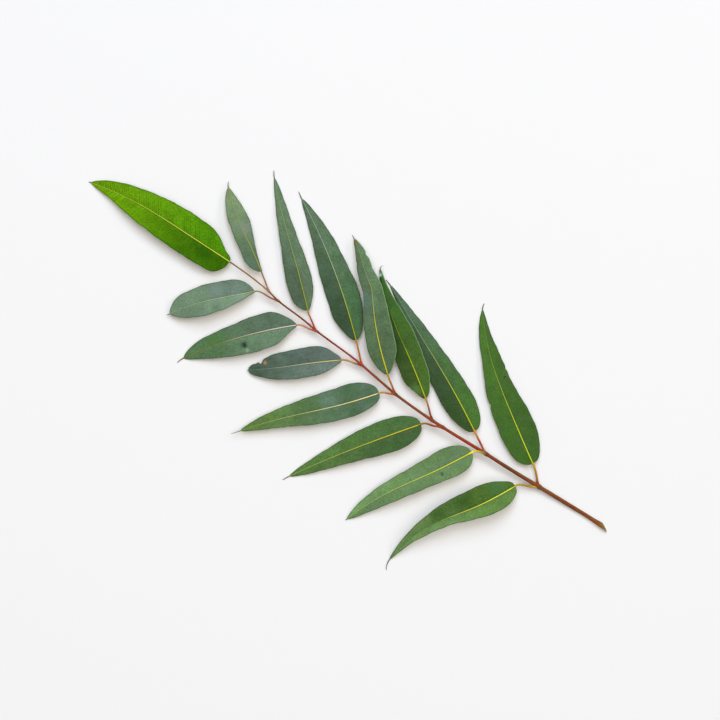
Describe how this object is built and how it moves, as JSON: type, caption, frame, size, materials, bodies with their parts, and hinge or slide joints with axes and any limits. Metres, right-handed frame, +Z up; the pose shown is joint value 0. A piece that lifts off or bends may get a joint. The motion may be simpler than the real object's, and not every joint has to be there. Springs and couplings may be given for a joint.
{
  "type": "eucalyptus branch",
  "caption": "Cut eucalyptus branch that lies flat: a slender reddish stem with pairs of long lance-shaped leaves on short stalks and one leaf at its end.",
  "frame": {"origin": "on the surface that the branch lies on, under the middle of its outline", "axes": "+X along the stem from the cut end to the end leaf, +Z up from the surface, +Y across the branch in that surface"},
  "size_m": [0.4703, 0.2064, 0.0175],
  "materials": {
    "stem": "smooth young bark, satin",
    "stalk": "smooth skin, satin",
    "leaf_young": "soft sheen",
    "leaf_fresh": "soft sheen",
    "leaf_green": "soft sheen",
    "leaf_dark": "soft sheen",
    "leaf_pale": "matt with a thin wax bloom",
    "leaf_blue": "matt with a wax bloom"
  },
  "bodies": {
    "root": {"stem": "stem", "stalk_terminal": "stalk", "stalk_upper_1": "stalk", "stalk_upper_2": "stalk", "stalk_upper_3": "stalk", "stalk_upper_4": "stalk", "stalk_upper_5": "stalk", "stalk_upper_6": "stalk", "stalk_upper_7": "stalk", "stalk_lower_1": "stalk", "stalk_lower_2": "stalk", "stalk_lower_3": "stalk", "stalk_lower_4": "stalk", "stalk_lower_5": "stalk", "stalk_lower_6": "stalk", "stalk_lower_7": "stalk", "leaf_terminal": "leaf_young", "leaf_upper_1": "leaf_green", "leaf_upper_2": "leaf_dark", "leaf_upper_3": "leaf_fresh", "leaf_upper_4": "leaf_dark", "leaf_upper_5": "leaf_dark", "leaf_upper_6": "leaf_blue", "leaf_upper_7": "leaf_blue", "leaf_lower_1": "leaf_green", "leaf_lower_2": "leaf_pale", "leaf_lower_3": "leaf_green", "leaf_lower_4": "leaf_pale", "leaf_lower_5": "leaf_blue", "leaf_lower_6": "leaf_dark", "leaf_lower_7": "leaf_blue"}
  },
  "joints": []
}
